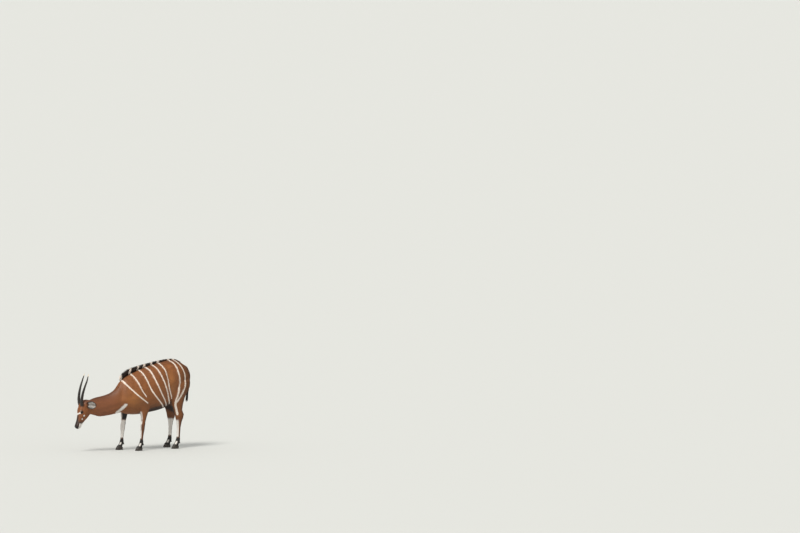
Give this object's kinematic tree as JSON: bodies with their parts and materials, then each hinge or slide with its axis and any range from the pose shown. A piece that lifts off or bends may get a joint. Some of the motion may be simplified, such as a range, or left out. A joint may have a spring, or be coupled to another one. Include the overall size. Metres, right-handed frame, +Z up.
{
  "type": "bongo antelope",
  "caption": "Life-size still model of a grazing female bongo antelope: striped trunk with a low crest, neck and head stooped to feed, spiral horns, cupped ears, cloven hooves, tufted tail.",
  "frame": {"origin": "middle of the animal's box, on the floor under the hooves", "axes": "-X the way she heads, -Y her left side, +Z up"},
  "size_m": [1.7872, 0.5788, 1.2533],
  "materials": {
    "coat": "short bright chestnut hair with narrow cream stripes, darker on the belly and legs",
    "tail_hair": "chestnut hair turning into a long blackish tuft",
    "horn": "dark grooved horn, satin, with pale worn tips",
    "hoof": "black horn, dull",
    "eye": "dark brown, wet gloss"
  },
  "bodies": {
    "root": {"foreleg_left_claw_outer": "hoof", "foreleg_left_dewclaw_outer": "hoof", "foreleg_left_claw_inner": "hoof", "foreleg_left_dewclaw_inner": "hoof", "foreleg_left_upper": "coat", "foreleg_left_lower": "coat", "foreleg_right_claw_outer": "hoof", "foreleg_right_dewclaw_outer": "hoof", "foreleg_right_claw_inner": "hoof", "foreleg_right_dewclaw_inner": "hoof", "foreleg_right_upper": "coat", "foreleg_right_lower": "coat", "hindleg_left_claw_outer": "hoof", "hindleg_left_dewclaw_outer": "hoof", "hindleg_left_claw_inner": "hoof", "hindleg_left_dewclaw_inner": "hoof", "hindleg_left_upper": "coat", "hindleg_left_lower": "coat", "hindleg_right_claw_outer": "hoof", "hindleg_right_dewclaw_outer": "hoof", "hindleg_right_claw_inner": "hoof", "hindleg_right_dewclaw_inner": "hoof", "hindleg_right_upper": "coat", "hindleg_right_lower": "coat", "torso": "coat", "neck": "coat", "head": "coat", "tail": "tail_hair", "eye_left": "eye", "horn_left": "horn", "ear_left": "coat", "eye_right": "eye", "horn_right": "horn", "ear_right": "coat"}
  },
  "joints": []
}
